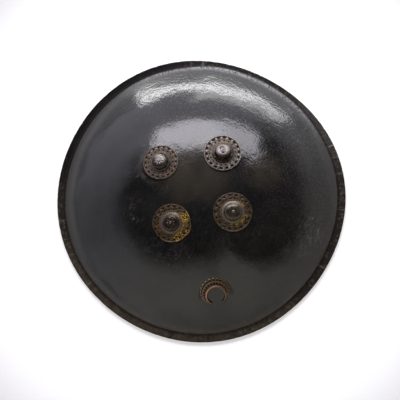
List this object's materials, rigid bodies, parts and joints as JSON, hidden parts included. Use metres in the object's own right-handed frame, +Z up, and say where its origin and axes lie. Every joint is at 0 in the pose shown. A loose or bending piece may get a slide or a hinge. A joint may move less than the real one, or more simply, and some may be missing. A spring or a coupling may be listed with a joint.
{
  "type": "leather shield",
  "caption": "Round domed hide shield with a narrow turned-up brim, pierced metal bosses in a square, a pierced crescent and hand grips inside.",
  "frame": {"origin": "on the surface that the shield lies on, under the middle of its outline", "axes": "+Z up through the dome, out of the shield's front; -Y towards the crescent; +X to the right seen from the front with the crescent down"},
  "size_m": [0.4828, 0.483, 0.1046],
  "materials": {
    "lacquered_hide": "black lacquer over thick hide, mottled, scuffed and finely scratched",
    "raw_hide": "dull brown hide, unlacquered",
    "grip_leather": "dark brown wrapped leather, worn where it is held",
    "boss_bronze": "dark brown patina with rust and remains of gilding",
    "dark_iron": "dark steel grey, lightly rusted",
    "crescent_copper": "dull copper band with a darker rusty fringe"
  },
  "bodies": {
    "root": {"hide_shell": "lacquered_hide", "boss_plate_1": "boss_bronze", "boss_plate_2": "boss_bronze", "boss_plate_3": "boss_bronze", "boss_plate_4": "boss_bronze", "boss_cap_1": "dark_iron", "boss_cap_2": "dark_iron", "boss_cap_3": "dark_iron", "boss_cap_4": "dark_iron", "boss_bolt_1": "dark_iron", "boss_bolt_2": "dark_iron", "boss_bolt_3": "dark_iron", "boss_bolt_4": "dark_iron", "boss_washer_1": "dark_iron", "boss_washer_2": "dark_iron", "boss_washer_3": "dark_iron", "boss_washer_4": "dark_iron", "grip_ring_1": "dark_iron", "grip_ring_2": "dark_iron", "grip_ring_3": "dark_iron", "grip_ring_4": "dark_iron", "grip_left": "grip_leather", "grip_right": "grip_leather", "crescent": "crescent_copper"}
  },
  "joints": []
}
